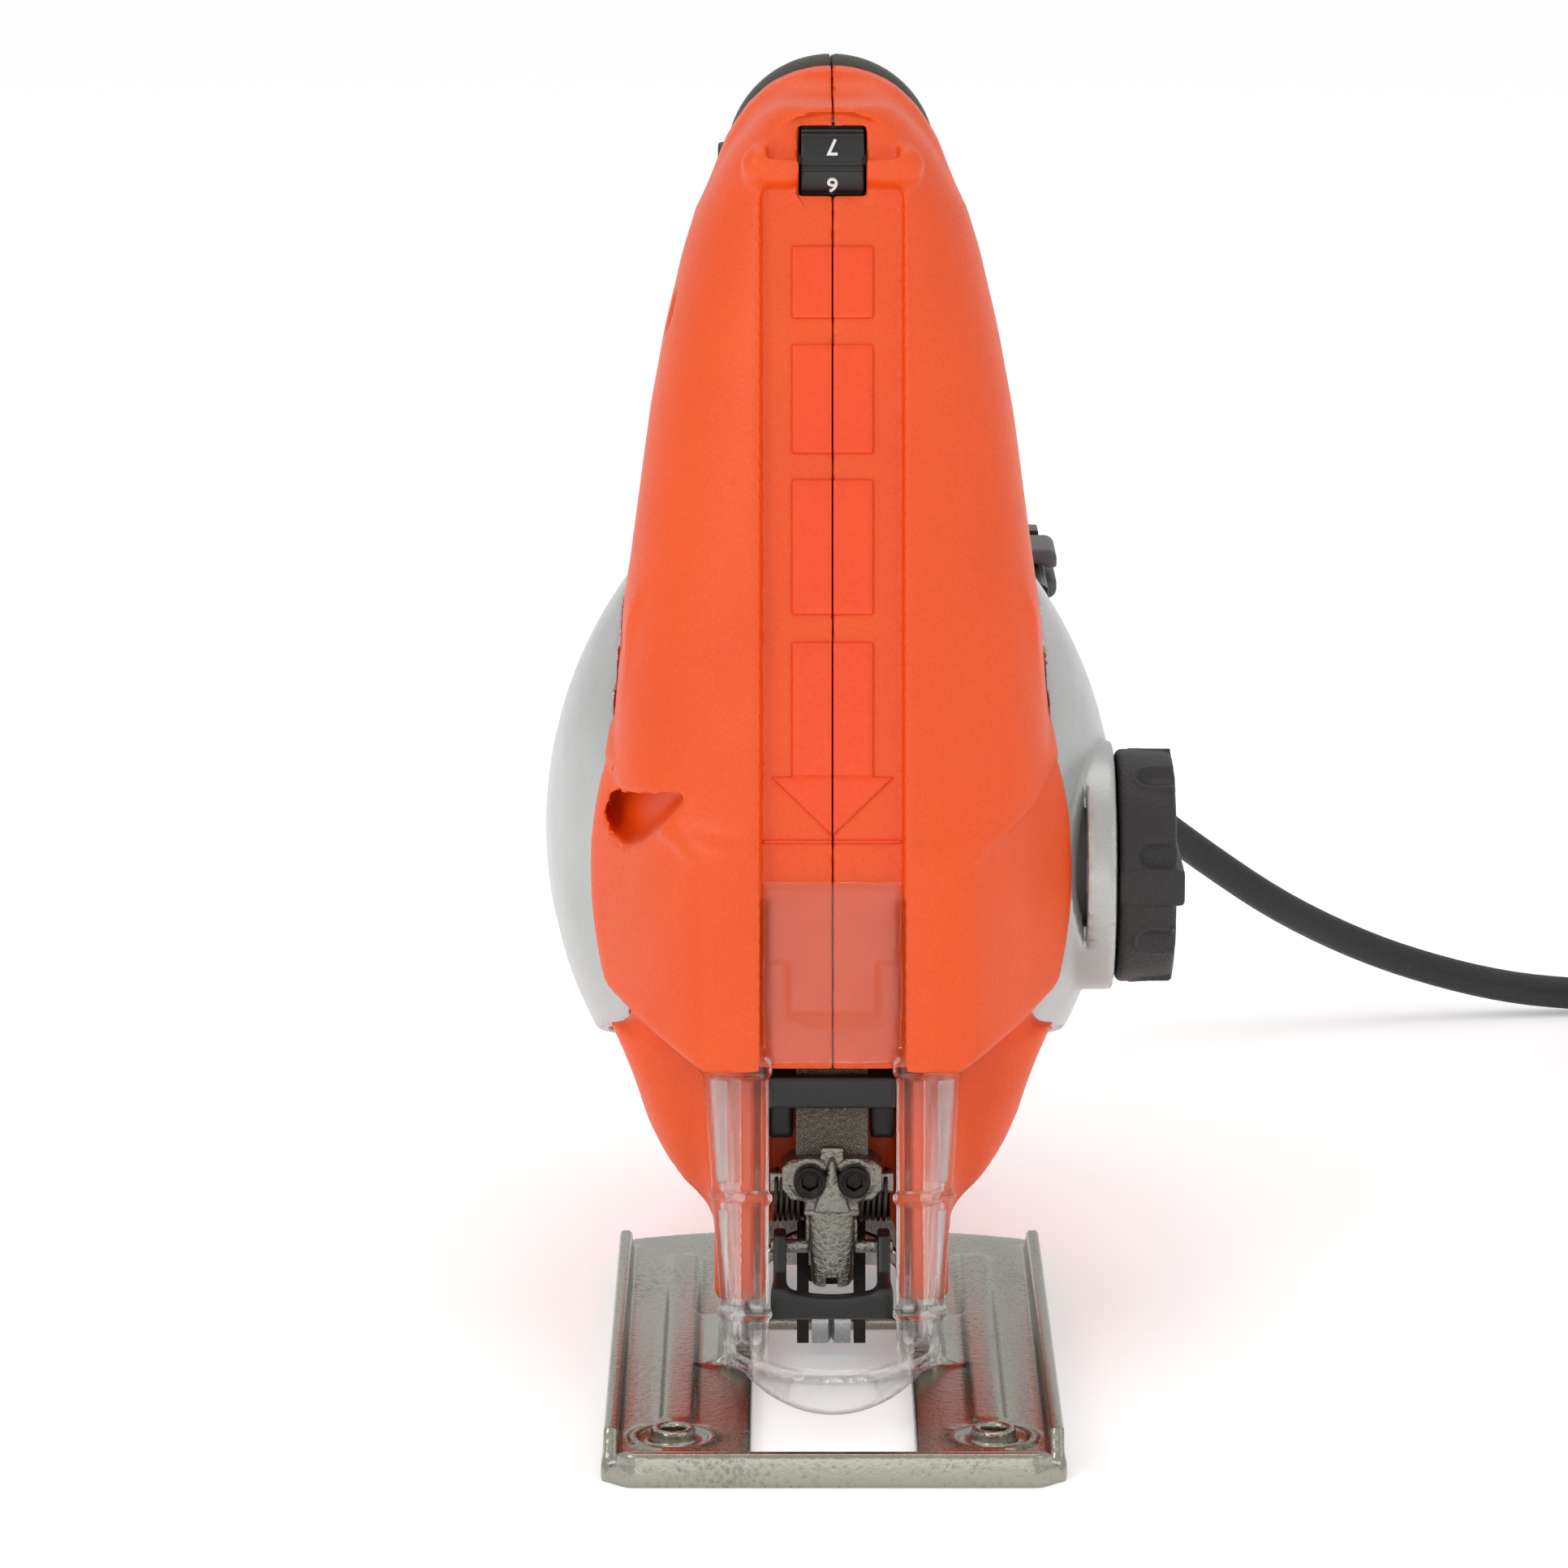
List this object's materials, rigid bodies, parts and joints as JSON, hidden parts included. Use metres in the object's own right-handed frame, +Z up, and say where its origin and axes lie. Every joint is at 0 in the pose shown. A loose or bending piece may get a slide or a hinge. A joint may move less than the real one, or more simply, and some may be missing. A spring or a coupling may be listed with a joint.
{
  "type": "jigsaw",
  "caption": "Corded jigsaw with D-shaped handle, orbital selector, speed dial, clear blade guard, tool-free blade clamp and tilting steel foot.",
  "frame": {"origin": "on the sole of the foot, where the blade's centre line crosses it", "axes": "+Z up out of the work, -Y is the cutting direction, +X towards the orbital selector"},
  "size_m": [0.3035, 0.3202, 0.2172],
  "materials": {
    "orange_shell": "matte moulded",
    "silver_cover": "satin metallic paint",
    "soft_grip": "matte overmould",
    "clear_guard": "clear polycarbonate",
    "black_plastic": "fine spark texture",
    "grey_plastic": "matte",
    "circuit_board": "solder mask",
    "spring_steel": "drawn wire",
    "steel": "ground",
    "ground_steel": "cross ground",
    "lamination": "stacked sheet",
    "copper": "enamelled wire",
    "brass": "satin",
    "carbon": "sintered",
    "die_cast": "die cast",
    "black_oxide": "black oxide",
    "zinc_plate": "zinc plated, orange peel",
    "cord_rubber": "moulded rubber"
  },
  "bodies": {
    "housing": {"housing_left": "orange_shell", "housing_right": "orange_shell", "cover_left": "silver_cover", "cover_right": "silver_cover", "grip_left": "soft_grip", "grip_right": "soft_grip", "speed_module": "circuit_board", "switch_body": "grey_plastic", "trigger_spring": "spring_steel", "stator_core": "lamination", "field_coils": "copper", "front_bearing": "steel", "rear_bearing": "steel", "brush_holders": "brass", "carbon_brushes": "carbon", "bearing_plate": "die_cast", "gear_axle": "steel", "upper_bush": "grey_plastic", "lower_bush": "black_plastic", "pendulum_pin": "steel", "foot_saddle": "die_cast", "foot_clamp": "steel", "foot_screws": "black_oxide", "dust_port": "grey_plastic", "hex_key": "black_oxide", "key_clip": "grey_plastic", "housing_screws": "black_oxide", "strain_relief": "cord_rubber", "cord_run": "cord_rubber", "cord_coil": "cord_rubber", "cord_tie": "grey_plastic", "plug_body": "cord_rubber", "plug_pins": "brass"},
    "guard": {"blade_guard": "clear_guard"},
    "dial": {"speed_dial": "black_plastic"},
    "trigger": {"trigger": "black_plastic"},
    "lock_button": {"lock_button": "black_plastic"},
    "selector": {"orbit_knob": "black_plastic", "orbit_shaft": "steel"},
    "armature": {"armature_shaft": "steel", "armature_core": "lamination", "commutator": "copper", "cooling_fan": "black_plastic", "pinion": "steel"},
    "gear": {"drive_gear": "steel", "crank_roller": "steel"},
    "plunger": {"plunger": "ground_steel", "yoke": "steel", "clamp_block": "die_cast", "clamp_screws": "black_oxide", "blade_holder": "die_cast", "clamp_pins": "steel", "clamp_springs": "spring_steel"},
    "bail": {"clamp_bail": "black_plastic"},
    "pendulum": {"pendulum_fork": "black_oxide"},
    "roller": {"guide_roller": "steel"},
    "foot": {"foot": "zinc_plate"}
  },
  "joints": [
    {"name": "guard_slide", "type": "slide", "parent": "housing", "child": "guard", "axis": [0, 0.2079, 0.9781], "range_m": [0, 0.02]},
    {"name": "dial_turn", "type": "hinge", "parent": "housing", "child": "dial", "pos_m": [0, 0.0223, 0.2025], "axis": [1, 0, 0], "range_deg": [-120, 120]},
    {"name": "trigger_pull", "type": "slide", "parent": "housing", "child": "trigger", "axis": [0, 0, 1], "range_m": [0, 0.005], "stiffness_N_per_m": 800, "springref_m": -0.002, "deforming": ["trigger_spring"]},
    {"name": "lock_press", "type": "slide", "parent": "housing", "child": "lock_button", "axis": [1, 0, 0], "range_m": [0, 0.002], "stiffness_N_per_m": 800, "springref_m": -0.001},
    {"name": "orbit_turn", "type": "hinge", "parent": "housing", "child": "selector", "pos_m": [0.05, 0.038, 0.079], "axis": [1, 0, 0], "range_deg": [0, 90]},
    {"name": "gear_spin", "type": "hinge", "parent": "housing", "child": "gear", "pos_m": [0, 0.017, 0.066], "axis": [0, 1, 0], "continuous": true},
    {"name": "armature_spin", "type": "hinge", "parent": "housing", "child": "armature", "pos_m": [0, 0.07, 0.0932], "axis": [0, 1, 0], "continuous": true},
    {"name": "plunger_stroke", "type": "slide", "parent": "housing", "child": "plunger", "axis": [0, 0, 1], "range_m": [-0.008, 0.008]},
    {"name": "bail_swing", "type": "hinge", "parent": "plunger", "child": "bail", "pos_m": [0, 0, 0.022], "axis": [1, 0, 0], "range_deg": [-20, 0], "stiffness_Nm_per_rad": 0.02, "springref_deg": 11.46},
    {"name": "pendulum_swing", "type": "hinge", "parent": "housing", "child": "pendulum", "pos_m": [0, 0.022, 0.033], "axis": [1, 0, 0], "range_deg": [-4, 0]},
    {"name": "roller_spin", "type": "hinge", "parent": "pendulum", "child": "roller", "pos_m": [0, 0.01, 0.0062], "axis": [1, 0, 0], "continuous": true},
    {"name": "foot_tilt", "type": "hinge", "parent": "housing", "child": "foot", "pos_m": [0, 0.04, 0], "axis": [0, 1, 0], "range_deg": [-15, 15]}
  ],
  "couplings": [
    {"joint": "armature_spin", "follows": "gear_spin", "ratio": -7.5}
  ]
}
